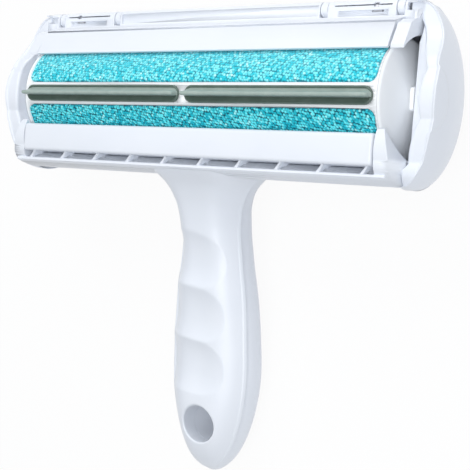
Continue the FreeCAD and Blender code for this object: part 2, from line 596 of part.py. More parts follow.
def build():
    shapes = {}
    shapes["drum_shell"] = make_drum()
    shapes["fabric_upper"] = make_fabric(1)
    shapes["fabric_lower"] = make_fabric(-1)
    shapes["pad_left"] = make_pad(-PAD_OUT, -PAD_IN)
    shapes["pad_right"] = make_pad(PAD_IN, PAD_OUT)
    shapes["wiper_left"] = make_fin(-PAD_OUT, -PAD_IN)
    shapes["wiper_right"] = make_fin(PAD_IN, PAD_OUT)
    cap = make_cap()
    shapes["drum_cap_right"] = cap
    shapes["drum_cap_left"] = mirrored(cap)
    shapes["axle_pins"] = make_axles()
    shapes["front_frame"] = make_frame()
    shapes["lower_jaw"] = make_lower_jaw()
    shapes["lip_upper"] = lip_bar(1)
    shapes["lip_lower"] = lip_bar(-1)
    shapes["dust_lid"] = make_lid()
    shapes["hinge_pins"] = make_hinge_pins()
    shapes["handle_front"], shapes["handle_back"] = make_handle()
    shapes["back_shell"] = make_back_shell()
    cover = make_cover()
    shapes["end_cover_right"] = cover
    shapes["end_cover_left"] = mirrored(cover)
    shapes["release_button"] = make_button()
    shapes["button_spring"] = make_spring()
    return shapes


shapes = build()
whole = Part.makeCompound(list(shapes.values())).optimalBoundingBox(True, False)
to_rest = V(0, -(whole.YMin + whole.YMax) / 2, -whole.ZMin)
print("moved to rest by", to_rest)
for name, shape in shapes.items():
    shape.translate(to_rest)
    box_ = shape.BoundBox
    print(f"{name:16s} valid {shape.isValid()} solids {len(shape.Solids)} volume {shape.Volume:9.0f} "
          f"x {box_.XMin:7.1f} {box_.XMax:7.1f} y {box_.YMin:7.1f} {box_.YMax:7.1f} "
          f"z {box_.ZMin:7.1f} {box_.ZMax:7.1f}")
    shape.exportStep(f"parts/{name}.step")
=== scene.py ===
# %% [markdown]
# # A pet hair brush, dressed for its portrait
#
# The tool lies on its back on a pale floor. A drum with two bands of nap fabric sits between two white
# jaws, a rubber wiper runs along its middle, and a handle with a hanging hole leads down from the head.
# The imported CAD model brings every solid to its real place. This lesson adds what a solid can't say:
# the nap, the soft rubber, the moulded gloss, the light and the camera.

# %% Load the frame
import json
import math

import bmesh
import bpy
import numpy as np
from mathutils import Matrix, Vector

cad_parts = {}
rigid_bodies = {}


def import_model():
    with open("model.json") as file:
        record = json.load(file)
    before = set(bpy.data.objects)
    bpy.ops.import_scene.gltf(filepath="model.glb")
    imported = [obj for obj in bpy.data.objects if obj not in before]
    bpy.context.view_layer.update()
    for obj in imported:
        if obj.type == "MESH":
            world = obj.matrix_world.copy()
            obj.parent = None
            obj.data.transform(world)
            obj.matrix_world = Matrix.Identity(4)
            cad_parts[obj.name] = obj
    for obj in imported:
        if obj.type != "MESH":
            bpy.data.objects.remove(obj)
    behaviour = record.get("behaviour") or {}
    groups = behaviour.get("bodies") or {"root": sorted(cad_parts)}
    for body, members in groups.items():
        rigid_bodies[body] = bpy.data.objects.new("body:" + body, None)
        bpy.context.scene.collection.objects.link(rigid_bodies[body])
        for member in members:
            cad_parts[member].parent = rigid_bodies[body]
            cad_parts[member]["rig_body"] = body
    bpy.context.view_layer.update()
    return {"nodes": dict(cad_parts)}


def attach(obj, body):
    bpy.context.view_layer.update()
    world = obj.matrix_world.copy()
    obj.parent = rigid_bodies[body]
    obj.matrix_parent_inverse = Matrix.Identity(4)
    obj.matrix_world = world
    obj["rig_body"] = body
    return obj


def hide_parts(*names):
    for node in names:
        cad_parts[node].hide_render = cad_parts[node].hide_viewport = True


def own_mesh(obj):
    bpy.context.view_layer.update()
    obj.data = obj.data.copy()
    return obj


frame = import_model()
scene = bpy.context.scene
print("CAD nodes:", len(frame["nodes"]))

# %% [markdown]
# ## Where things are
#
# All pieces share one frame: X along the drum, Y from the handle up to the head, Z out of the working
# face, in metres. The drum turns about a line parallel to X, so its pieces are easiest to describe by
# a distance from that line and an angle round it. The angle is 0 in the middle of the wiper and grows
# towards the upper jaw.

# %% Drum coordinates
MM = 0.001
AXIS_Y, AXIS_Z = 55.4, 30.8
WIPER_TILT = math.radians(-3.2)


def on_drum(x, radius, angle):
    """Points at x along the drum, a radius from its axis and an angle from the wiper, all in millimetres:
    y = axis + radius * sin(angle + tilt), z = axis + radius * cos(angle + tilt)."""
    x, radius, angle = np.broadcast_arrays(x, radius, angle)
    turned = angle + WIPER_TILT
    return np.stack([x, AXIS_Y + radius * np.sin(turned), AXIS_Z + radius * np.cos(turned)], axis=-1) * MM


def on_pad_plane(x, across, height):
    """Points on a flat table that touches the drum at the wiper: x along, across towards the upper jaw,
    and height from the drum's axis, turned with the wiper."""
    x, across, height = np.broadcast_arrays(x, across, height)
    c, s = math.cos(WIPER_TILT), math.sin(WIPER_TILT)
    y = AXIS_Y + across * c + height * s
    z = AXIS_Z - across * s + height * c
    return np.stack([x, y, z], axis=-1) * MM


print("wiper tip at", on_drum(0.0, 25.5, 0.0).round(4))

# %% [markdown]
# ## From a grid of points to a mesh
#
# Every new piece is a surface over two parameters. Its points are worked out as one numpy array, with
# rows along one parameter and columns along the other. A row that closes on itself, such as the
# section of a fin, is wrapped. The open ends are capped with one flat face each, so the piece is a
# closed body, and doubled points at a pole are merged.


# %% Mesh helpers
def grid_faces(rows, columns, wrap):
    """Quads between neighbouring rows and columns; with wrap the last column joins the first."""
    last = columns if wrap else columns - 1
    r = np.arange(rows - 1)[:, None]
    c = np.arange(last)[None, :]
    after = (c + 1) % columns
    quads = np.stack(np.broadcast_arrays(r * columns + c, r * columns + after,
                                         (r + 1) * columns + after, (r + 1) * columns + c), axis=-1)
    return quads.reshape(-1, 4)


def body_from_grid(name, points, material, attributes=None):
    """Closed tube through a (rows, columns, 3) array of points in metres, its two end rows capped."""
    rows, columns = points.shape[:2]
    faces = grid_faces(rows, columns, True).tolist()
    faces += [list(range(columns)), list(range((rows - 1) * columns, rows * columns))]
    mesh = bpy.data.meshes.new(name)
    mesh.from_pydata(points.reshape(-1, 3).tolist(), [], faces)
    for key, values in (attributes or {}).items():
        layer = mesh.attributes.new(key, "FLOAT", "POINT")
        layer.data.foreach_set("value", np.asarray(values, np.float32).ravel())
    work = bmesh.new()
    work.from_mesh(mesh)
    bmesh.ops.remove_doubles(work, verts=work.verts, dist=1e-6)
    bmesh.ops.recalc_face_normals(work, faces=work.faces)
    work.to_mesh(mesh)
    work.free()
    mesh.materials.append(material)
    piece = bpy.data.objects.new(name, mesh)
    scene.collection.objects.link(piece)
    mesh.shade_smooth()
    mesh.set_sharp_from_angle(angle=math.radians(50))
    return piece


def report(piece):
    """Print how many triangles a piece has."""
    piece.data.calc_loop_triangles()
    print(f"{piece.name}: {len(piece.data.loop_triangles)} triangles")


# %% [markdown]
# ## Materials
#
# A small helper starts each material with a Principled shader. The numbers that are the same all over
# a surface are set straight on the shader, and only what varies comes through nodes.


# %% Material helpers
def new_material(name, roughness, **values):
    """Material with a Principled shader and the given constant inputs; returns it with its nodes."""
    material = bpy.data.materials.new(name)
    material.use_nodes = True
    nodes, links = material.node_tree.nodes, material.node_tree.links
    shader = nodes["Principled BSDF"]
    shader.inputs["Roughness"].default_value = roughness
    for key, value in values.items():
        shader.inputs[key.replace("_", " ")].default_value = value
    return material, nodes, links, shader


def noise(nodes, links, where, scale, detail=3.0, rough=0.55):
    """Noise texture on a set of coordinates; scale counts features per metre."""
    texture = nodes.new("ShaderNodeTexNoise")
    texture.inputs["Scale"].default_value = scale
    texture.inputs["Detail"].default_value = detail
    texture.inputs["Roughness"].default_value = rough
    links.new(where, texture.inputs["Vector"])
    return texture.outputs["Fac"]


def ramp(nodes, links, factor, stops):
    """Colour ramp through (position, colour) stops."""
    node = nodes.new("ShaderNodeValToRGB")
    links.new(factor, node.inputs["Fac"])
    elements = node.color_ramp.elements
    while len(elements) < len(stops):
        elements.new(0.5)
    for element, (position, colour) in zip(elements, stops):
        element.position = position
        element.color = (*colour, 1.0)
    return node.outputs["Color"]


def bump(nodes, links, shader, height, strength, distance):
    """Shallow relief on a shader: a height from 0 to 1, lifted by a distance in metres."""
    node = nodes.new("ShaderNodeBump")
    node.inputs["Strength"].default_value = strength
    node.inputs["Distance"].default_value = distance
    links.new(height, node.inputs["Height"])
    links.new(node.outputs["Normal"], shader.inputs["Normal"])


# %% [markdown]
# ### Moulded white plastic
#
# The housing is glossy white ABS with a touch of blue. A moulded face is never quite even: it has a
# faint orange-peel waviness and slightly varying gloss, so a slow noise moves the colour a little, a
# finer one moves the roughness, and a very shallow bump makes highlights run softly. The drum is the
# same plastic, given a lighter and less blue colour: painted light, which keeps its discs bright
# inside the covers' mouths.


# %% White plastics
def moulded_white(name, colour, deeper, roughness):
    """Glossy plastic whose colour, gloss and relief each wander with a noise of their own scale."""
    material, nodes, links, shader = new_material(name, roughness, IOR=1.47)
    where = nodes.new("ShaderNodeTexCoord").outputs["Object"]
    slow = noise(nodes, links, where, 38.0, 2.0)
    links.new(ramp(nodes, links, slow, [(0.3, deeper), (0.7, colour)]), shader.inputs["Base Color"])
    fine = noise(nodes, links, where, 900.0, 3.0)
    gloss = nodes.new("ShaderNodeMapRange")
    gloss.inputs["To Min"].default_value = roughness - 0.05
    gloss.inputs["To Max"].default_value = roughness + 0.07
    links.new(fine, gloss.inputs["Value"])
    links.new(gloss.outputs["Result"], shader.inputs["Roughness"])
    bump(nodes, links, shader, noise(nodes, links, where, 260.0, 2.0), 0.10, 0.00012)
    return material


housing_white = moulded_white("housing white", (0.80, 0.832, 0.892), (0.775, 0.81, 0.874), 0.30)
# The drum's lighter colour is painted light.
drum_white_painted_light = moulded_white("drum white with painted light", (0.93, 0.95, 0.97), (0.91, 0.932, 0.957), 0.34)
print("plastics:", housing_white.name, "and", drum_white_painted_light.name)

# %% [markdown]
# ### Rubber
#
# Pads, fins and lips are soft rubber. It scatters light broadly and has a fine grain from its mould,
# with a bloom that makes it paler here and there.


# %% Rubber
def soft_rubber(name, colour, paler, roughness, grain):
    """Matt rubber with a pale bloom; grain is the strength of its fine relief."""
    material, nodes, links, shader = new_material(name, roughness)
    where = nodes.new("ShaderNodeTexCoord").outputs["Object"]
    bloom = noise(nodes, links, where, 240.0, 4.0, 0.65)
    links.new(ramp(nodes, links, bloom, [(0.35, colour), (0.68, paler)]), shader.inputs["Base Color"])
    bump(nodes, links, shader, noise(nodes, links, where, 2400.0, 2.0), grain, 0.00006)
    return material


# The pads are the same grey-green rubber as the fins, darkened: painted shade for the shadow that lies
# under the fins.
pad_rubber_painted_shade = soft_rubber("pad rubber with painted shade", (0.10, 0.145, 0.12), (0.13, 0.175, 0.15), 0.42, 0.35)
fin_rubber = soft_rubber("fin rubber", (0.32, 0.40, 0.365), (0.38, 0.46, 0.42), 0.40, 0.2)
lip_rubber = soft_rubber("lip rubber", (0.70, 0.72, 0.74), (0.76, 0.78, 0.80), 0.5, 0.2)
print("rubbers:", pad_rubber_painted_shade.name, fin_rubber.name, lip_rubber.name)

# %% [markdown]
# ### Steel
#
# The pins and the leaf spring are drawn wire and strip: bright metal with fine lines along its length.

# %% Steel
steel, nodes, links, shader = new_material("drawn steel", 0.28, Metallic=1.0)
where = nodes.new("ShaderNodeTexCoord").outputs["Object"]
along = nodes.new("ShaderNodeMapping")
along.inputs["Scale"].default_value = (0.03, 1.0, 1.0)
links.new(where, along.inputs["Vector"])
lines = noise(nodes, links, along.outputs["Vector"], 2600.0, 2.0)
links.new(ramp(nodes, links, lines, [(0.3, (0.50, 0.50, 0.52)), (0.7, (0.68, 0.68, 0.70))]),
          shader.inputs["Base Color"])
print("metal:", steel.name)

# %% [markdown]
# ### Nap fabric
#
# The bands are short, dense pile combed one way. From a step away they glitter: bright fibre tips,
# darker gaps between tufts, and a few nearly white strands. The mesh itself carries that order. It
# stores for each point which tuft it belongs to ("tuft", a random number), how high it stands in the
# tuft ("tip"), and how far it lies across the band ("across"). The material only turns these three
# into colour, so the pattern sits on the cloth and not on the screen. The dark gap colour where the
# tip is low is painted shade between the tufts. Across the band a second colour is mixed in: the
# upper band grows paler towards its top edge, which is painted light, and the lower band is a darker
# copy of the same fabric that darkens towards its bottom edge, which is painted shade. A little sheen
# stands for the fuzz that is too fine to model.


# %% Fabric materials
def nap_fabric(name, gap, body, bright, pale, far_painted_shading, painted_shading_share):
    """Pile from the mesh's own values: strand colour by tuft, gap colour where the tip is low, which is
    painted shade between the tufts, and a colour that grows across the band, which is painted light
    on the upper band and painted shade on the lower."""
    material, nodes, links, shader = new_material(
        name, 0.72, Sheen_Weight=0.25, Sheen_Roughness=0.4, Sheen_Tint=(0.75, 1.0, 1.0, 1.0))
    shader.inputs["Specular IOR Level"].default_value = 0.25

    def stored(attribute):
        node = nodes.new("ShaderNodeAttribute")
        node.attribute_name = attribute
        return node.outputs["Fac"]

    strand = ramp(nodes, links, stored("tuft"),
                  [(0.0, body), (0.30, body), (0.60, bright), (0.80, bright), (1.0, pale)])
    where = nodes.new("ShaderNodeTexCoord").outputs["Object"]
    fibres = noise(nodes, links, where, 3200.0, 2.0, 0.7)
    depth = nodes.new("ShaderNodeMath")
    depth.operation = "MULTIPLY_ADD"
    depth.inputs[1].default_value = 0.5
    links.new(fibres, depth.inputs[0])
    links.new(stored("tip"), depth.inputs[2])
    lit = nodes.new("ShaderNodeMapRange")
    lit.inputs["From Min"].default_value = 0.42
    lit.inputs["From Max"].default_value = 0.98
    links.new(depth.outputs["Value"], lit.inputs["Value"])
    # where the tip is low the gap colour shows: painted shade between the tufts
    deep = nodes.new("ShaderNodeMix")
    deep.data_type = "RGBA"
    deep.inputs["A"].default_value = (*gap, 1.0)
    links.new(lit.outputs["Result"], deep.inputs["Factor"])
    links.new(strand, deep.inputs["B"])
    # the colour mixed in across the band: painted light on the upper band, painted shade on the lower
    share = nodes.new("ShaderNodeMath")
    share.operation = "MULTIPLY"
    share.inputs[1].default_value = painted_shading_share
    links.new(stored("across"), share.inputs[0])
    far = nodes.new("ShaderNodeMix")
    far.data_type = "RGBA"
    far.inputs["B"].default_value = (*far_painted_shading, 1.0)
    links.new(share.outputs["Value"], far.inputs["Factor"])
    links.new(deep.outputs["Result"], far.inputs["A"])
    links.new(far.outputs["Result"], shader.inputs["Base Color"])
    bump(nodes, links, shader, fibres, 0.5, 0.0002)
    return material


# the upper band's copy grows paler towards its top edge: painted light. The lower band's copy is darker all
# over and darkens towards its bottom edge: painted shade on the same fabric.
nap_painted_light = nap_fabric("nap with painted light", (0.0, 0.20, 0.28), (0.015, 0.60, 0.73), (0.22, 0.88, 0.95),
                       (0.75, 0.97, 0.98), (0.36, 0.82, 0.88), 0.28)
nap_painted_shade = nap_fabric("nap with painted shade", (0.0, 0.06, 0.10), (0.01, 0.52, 0.65), (0.14, 0.88, 0.96),
                      (0.55, 0.97, 0.98), (0.0, 0.30, 0.38), 0.20)
print("fabrics:", nap_painted_light.name, "and", nap_painted_shade.name)

# %% [markdown]
# ## The two fabric bands
#
# A band fills a window in the barrel: 159.5 mm long, 65 degrees round the drum, with rounded corners.
# Its skin is a grid of about a quarter of a millimetre. The pile is a cellular pattern: the band is
# divided into small cells, each cell holds one tuft at a random place, and every point belongs to the
# nearest tuft. Measured in cells, the height falls off with the square of the distance from the
# tuft's middle. Cells are a little longer along the band than across it, and they lean over, because
# the pile is combed. A second set of cells, half as large, adds finer strands. At the rim of the
# window the nap rolls over and down, which leaves the thin shaded line round each band. The stored
# tip value falls there too, so the gap colour paints that line darker: painted shade.

# %% Tufts
BAND_HALF = 79.75
BAND_NEAR, BAND_FAR = math.radians(12.52), math.radians(77.68)
BAND_CORNER = 2.85
NAP_FOOT, NAP_SKIN = 19.25, 20.32
TUFT_ALONG, TUFT_ACROSS, FINE_CELL = 1.12, 1.02, 0.5
NAP_RAISE, PILE, FINE_PILE, SHOULDER = 0.12, 0.36, 0.08, 0.75


def scatter(a, b, seed):
    """Pseudo-random number from 0 to 1 for each pair of whole numbers: the fraction of a large sine."""
    value = np.sin(a * 127.1 + b * 311.7 + seed * 74.7) * 43758.5453
    return value - np.floor(value)


def tufts(along, across, cell_along, cell_across, lean, seed):
    """Nearest tuft of each point. Cells lean by `lean` millimetres per millimetre.
    Returns the distance in cells and the tuft's own random number."""
    u = along / cell_along
    v = (across + lean * along) / cell_across
    cell_u, cell_v = np.floor(u), np.floor(v)
    nearest = np.full(u.shape, 9.0)
    own = np.zeros(u.shape)
    for du in (-1, 0, 1):
        for dv in (-1, 0, 1):
            a, b = cell_u + du, cell_v + dv
            middle_u = a + 0.5 + 0.5 * (b % 2) + 0.42 * (scatter(a, b, seed) - 0.5)
            middle_v = b + 0.5 + 0.42 * (scatter(a, b, seed + 1) - 0.5)
            distance = np.hypot(u - middle_u, v - middle_v)
            closer = distance < nearest
            nearest = np.where(closer, distance, nearest)
            own = np.where(closer, scatter(a, b, seed + 2), own)
    return nearest, own


# %% [markdown]
# The band's outline is a rectangle with rounded corners, so its half width shrinks near the ends as
# a quarter circle does. Going once round the section, the grid's columns run over the pile and come
# back along the glued underside.


# %% Fabric bands
def nap_band(name, side, material, body, node, lean, seed):
    """One band. Its half width across at a distance e from the end is
    H - (c - sqrt(c^2 - (c - e)^2)) while e is less than the corner radius c."""
    rows, columns, under = 620, 92, 10
    x = np.linspace(-BAND_HALF, BAND_HALF, rows)[:, None]
    arc = (BAND_FAR - BAND_NEAR) * NAP_SKIN
    inside = np.clip(BAND_CORNER - (BAND_HALF - np.abs(x)), 0.0, BAND_CORNER)
    half = arc / 2 - (BAND_CORNER - np.sqrt(BAND_CORNER ** 2 - inside ** 2))
    share = np.linspace(-1.0, 1.0, columns)[None, :]
    across = half * share
    rim = np.minimum(half - np.abs(across), BAND_HALF - np.abs(x))
    distance, own = tufts(x, across, TUFT_ALONG, TUFT_ACROSS, lean, seed)
    fine_distance, fine_own = tufts(x, across, FINE_CELL, FINE_CELL, -lean, seed + 11)
    tip = np.clip(1.0 - distance ** 2 * 2.3, 0.0, 1.0)
    fine_tip = np.clip(1.0 - fine_distance ** 2 * 1.6, 0.0, 1.0)
    pile = PILE * tip * (0.55 + 0.45 * own) + FINE_PILE * fine_tip
    shoulder = np.clip(rim / SHOULDER, 0.0, 1.0)
    roll = 1.0 - (1.0 - shoulder) ** 2
    top = NAP_FOOT + ((NAP_SKIN - NAP_FOOT + NAP_RAISE + pile)
                      * np.sqrt(np.clip(roll, 0.0, 1.0) * 0.96 + 0.04))
    angle = (BAND_NEAR + BAND_FAR) / 2 + across / NAP_SKIN
    back = np.linspace(1.0, -1.0, under)[None, :]
    back_angle = (BAND_NEAR + BAND_FAR) / 2 + half * back / NAP_SKIN
    angles = np.concatenate([angle, back_angle], axis=1) * side
    radii = np.concatenate([top, np.full((rows, under), NAP_FOOT)], axis=1)
    points = on_drum(np.broadcast_to(x, radii.shape), radii, angles)
    plain = np.zeros((rows, under))
    stored = {
        "tuft": np.concatenate([0.8 * own + 0.2 * fine_own, plain], axis=1),
        # the tip value falls where the nap rolls over, which paints shade along the band's rim
        "tip": np.concatenate([tip * (0.35 + 0.65 * roll), plain], axis=1),
        "across": np.concatenate([np.broadcast_to((share + 1) / 2, tip.shape), plain], axis=1),
    }
    piece = body_from_grid(name, points, material, stored)
    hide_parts(node)
    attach(piece, body)
    report(piece)


nap_band("nap_upper", 1, nap_painted_light, "drum", "fabric_upper", 0.12, 3)
nap_band("nap_lower", -1, nap_painted_shade, "drum", "fabric_lower", -0.15, 29)

# %% [markdown]
# ## Pads and wiper fins
#
# Two rubber pads lie in the white strip between the bands. Each is a flat stadium with a thin raised
# lip along its edge, and a fin stands along its middle. The fin wipes the sofa and makes the drum
# turn over at each stroke. A pad is one section, from its foot up over the lip to the middle, carried
# round the stadium. A fin is a section carried along X: its upper flank flares out into a broad foot,
# its lower flank is steep, so the light from above leaves a dark line under it. Its ends are rounded
# off by lowering and narrowing the last sections.

# %% Pads
PAD_IN, PAD_OUT, PAD_HALF, PAD_FOOT, PAD_TOP = 1.45, 79.4, 3.2, 19.45, 21.45
PAD_SECTION = np.array([
    (0.0, PAD_FOOT), (3.12, PAD_FOOT), (3.18, PAD_FOOT + 0.1), (3.18, PAD_TOP - 0.2),
    (3.13, PAD_TOP + 0.02), (3.0, PAD_TOP + 0.16), (2.8, PAD_TOP + 0.19), (2.6, PAD_TOP + 0.12),
    (2.45, PAD_TOP - 0.06), (2.34, PAD_TOP - 0.3), (2.15, PAD_TOP - 0.42), (1.7, PAD_TOP - 0.7),
    (1.2, PAD_TOP - 1.15), (0.6, PAD_TOP - 1.3), (0.0, PAD_TOP - 1.3)])


def pad(name, node, first, last):
    """Stadium ring k steps round: middle segment point + r * (cos t, sin t), and its height from the
    section."""
    turns = 48
    t = np.concatenate([np.linspace(-math.pi / 2, math.pi / 2, turns),
                        np.linspace(math.pi / 2, 1.5 * math.pi, turns)])
    centre = np.where(np.arange(2 * turns) < turns, last - PAD_HALF, first + PAD_HALF)
    r, height = PAD_SECTION[:, 0][:, None], PAD_SECTION[:, 1][:, None]
    points = on_pad_plane(centre[None, :] + r * np.cos(t)[None, :], r * np.sin(t)[None, :], height)
    piece = body_from_grid(name, points, pad_rubber_painted_shade)
    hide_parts(node)
    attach(piece, "drum")
    report(piece)


pad("rubber_pad_left", "pad_left", -PAD_OUT, -PAD_IN)
pad("rubber_pad_right", "pad_right", PAD_IN, PAD_OUT)

# %% Fins
# section of a fin, across (towards the upper jaw) and up from its foot as shares of its height
FIN_FOOT, FIN_TIP = 20.3, 25.45
FIN_HALF, FIN_FLARE_RUN, FIN_GAP = 0.8, 3.2, 0.15
FIN_ACROSS = np.array([2.55, 2.45, 1.95, 1.4, 1.02, 0.78, 0.66, 0.5,
                       0.2, -0.1, -0.4, -0.62, -0.72, -0.78, -0.8, -0.8])
FIN_RISE = np.array([0.0, 0.12, 0.23, 0.40, 0.60, 0.82, 0.93, 0.98,
                     1.0, 1.0, 0.99, 0.95, 0.86, 0.6, 0.3, 0.0])


def fin(name, node, first, last):
    """Section at x: a flared upper flank, a narrow flat top and a steep lower flank. Within 1.2 mm of an
    end the top drops by 1.2 - sqrt(1.2^2 - (1.2 - e)^2), which rounds the end off."""
    round_off = 1.2
    ease = np.linspace(0.0, math.pi / 2, 9)
    end = round_off * (1 - np.cos(ease))
    straight = np.linspace(first + round_off, last - round_off, 60)[1:-1]
    x = np.concatenate([first + end, straight, (last - end)[::-1]])
    gap = np.minimum(x - first, last - x)
    inside = np.clip(round_off - gap, 0.0, round_off)
    drop = round_off - np.sqrt(np.clip(round_off ** 2 - inside ** 2, 0.0, None))
    wave = 0.03 * np.sin(x * 0.9) + 0.02 * np.sin(x * 2.3 + 1.0)
    tip = FIN_TIP - drop - 0.03 + wave * 0.5
    near_end = np.clip(gap / FIN_FLARE_RUN, 0.0, 1.0)[:, None]
    flare = np.sqrt(near_end * (2 - near_end))
    across = np.where(FIN_ACROSS > FIN_HALF, FIN_HALF + (FIN_ACROSS - FIN_HALF) * flare,
                      FIN_ACROSS[None, :] + 0 * flare)
    thin = 1.0 - 0.35 * (inside / round_off)[:, None] ** 2
    heights = FIN_FOOT + (tip - FIN_FOOT)[:, None] * FIN_RISE[None, :]
    points = on_pad_plane(x[:, None], across * thin + wave[:, None] * FIN_RISE[None, :], heights)
    piece = body_from_grid(name, points, fin_rubber)
    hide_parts(node)
    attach(piece, "drum")
    report(piece)


fin("fin_left", "wiper_left", -PAD_OUT + FIN_GAP, -PAD_IN - FIN_GAP)
fin("fin_right", "wiper_right", PAD_IN + FIN_GAP, PAD_OUT - FIN_GAP)

# %% [markdown]
# ## The handle
#
# The handle is two moulded halves that meet at a slanting parting plane. Its section changes from a
# broad squarish root under the head to a slim neck, a full grip and a rounded end. Such a body is a
# family of sections: at each height the outline is a superellipse, |x / w|^p + |z / d|^p = 1, and the
# width, the front, the back and the squareness p run smoothly through a few stations. A grid over
# height and the angle round the section gives the whole skin at once. The finger hollows are dents in
# that skin, and the hanging hole is cut by a spool with flared ends, which rounds its two rims.

# %% Sections of the handle
# height, half width, front, back and squareness, from the root down to the end, in millimetres
STATIONS = np.array([(-25.0, 26.5, 18.2, -15.4, 4.0), (-29.0, 22.4, 16.4, -15.4, 3.8),
                     (-33.0, 18.2, 12.6, -16.0, 3.2), (-39.0, 14.9, 8.9, -17.8, 2.8),
                     (-47.0, 13.7, 6.0, -20.4, 2.6), (-60.0, 14.9, 3.4, -22.9, 2.4),
                     (-76.0, 17.2, 0.9, -25.7, 2.4), (-92.0, 18.4, -1.7, -28.1, 2.4),
                     (-106.0, 18.7, -3.2, -29.9, 2.4), (-119.0, 17.1, -4.3, -30.6, 2.3),
                     (-129.0, 14.2, -6.0, -30.2, 2.3), (-137.0, 10.6, -9.3, -28.0, 2.3),
                     (-142.0, 6.6, -13.1, -25.5, 2.2), (-144.4, 3.0, -16.6, -22.4, 2.1),
                     (-145.0, 0.0, -19.3, -19.7, 2.0)])
END_Y = -145.0
PART_AT_TOP, PART_SLOPE = -0.15, 0.105
HEAD_Y, HEAD_Z, HEAD_R = 1.8, 1.0, 31.8
ROOT_SINK = 0.3
ARCH = 3.3


def through_stations(y):
    """Width, front, back and squareness at height y. Near a round end the width falls as the root of
    the distance to the end, so the stations are joined over u = sqrt(y - end): a cubic between
    neighbours whose slope at each station is the mean of its two neighbours' slopes."""
    at = np.sqrt(STATIONS[:, 0] - END_Y)[::-1]
    rows = STATIONS[::-1, 1:]
    slopes = np.gradient(rows, at, axis=0)
    u = np.sqrt(np.clip(y - END_Y, 0.0, None))
    k = np.clip(np.searchsorted(at, u) - 1, 0, len(at) - 2)
    span = at[k + 1] - at[k]
    f = np.clip((u - at[k]) / span, 0.0, 1.0)[..., None]
    span = span[..., None]
    a, b = rows[k], rows[k + 1]
    value = ((1 + 2 * f) * (1 - f) ** 2 * a + f ** 2 * (3 - 2 * f) * b
             + span * f * (1 - f) ** 2 * slopes[k] - span * f ** 2 * (1 - f) * slopes[k + 1])
    return np.moveaxis(value, -1, 0)


def parting(y):
    """Depth of the slanting parting plane at height y: z = at top + slope * y."""
    return PART_AT_TOP + PART_SLOPE * y


def root_height(z):
    """Height at which the handle runs into the head: on its round back behind z = 3, and in front of
    that under the rail, which curves gently upwards."""
    behind = HEAD_Y - np.sqrt(np.clip(HEAD_R ** 2 - (z - HEAD_Z) ** 2, 0.0, None))
    before = -29.94 + 0.0005 * np.clip(z - 3.0, 0.0, None) ** 3
    return np.where(z < 3.0, behind, before) + ROOT_SINK


print("grip is", round(2 * float(through_stations(np.array(-106.0))[0]), 1), "mm wide")

# %% [markdown]
# The hollows are on the left, where the fingers close round the grip. A fingertip pressed into soft
# clay leaves the same form: a dent like a piece of a barrel, with a crisp edge all round. Its depth is
# 1 - |across|^4 - |down|^2.2, measured from the middle of the dent in half widths and half heights, and
# nothing where that is negative. Neighbouring dents meet in a crest.

# %% Skin of the handle
HOLLOW_MIDDLES = (-61.8, -82.4, -103.0)
HOLLOW_X, HOLLOW_HALF_X, HOLLOW_HALF_Y, HOLLOW_DEPTH = -9.0, 20.2, 10.7, 2.1
HOLLOW_TILT, HOLLOW_PIVOT = 0.10, -4.0
# a dent sinks towards a line this far behind the face, and x gives way by this share of it
DENT_AIM, DENT_PULL = 14.0, 0.25
LEDGE, SEAM_R = 0.8, 0.4
# the bead along the seam: height, distance from the edge, half width, and arc length it fades at
BEAD, BEAD_AT, BEAD_HALF, BEAD_FADE = 0.38, 1.0, 0.9, 9.0

heights = np.linspace(-143.0, END_Y, 400)
FRONT_END = float(heights[np.argmax(through_stations(heights)[1] <= parting(heights))])
print("front half ends at", round(FRONT_END, 2), "and the back half at", END_Y)


def hollow_depth(x, y):
    """Depth of the finger hollows: a barrel-shaped dent for each finger, the deepest one counts."""
    depth = np.zeros(np.broadcast(x, y).shape)
    for middle in HOLLOW_MIDDLES:
        across = np.abs((x - HOLLOW_X) / HOLLOW_HALF_X)
        down = np.abs(y - middle + HOLLOW_TILT * (x - HOLLOW_PIVOT)) / HOLLOW_HALF_Y
        dent = np.clip(1.0 - across ** 4 - down ** 2.2, 0.0, 1.0)
        depth = np.maximum(depth, HOLLOW_DEPTH * dent)
    return depth


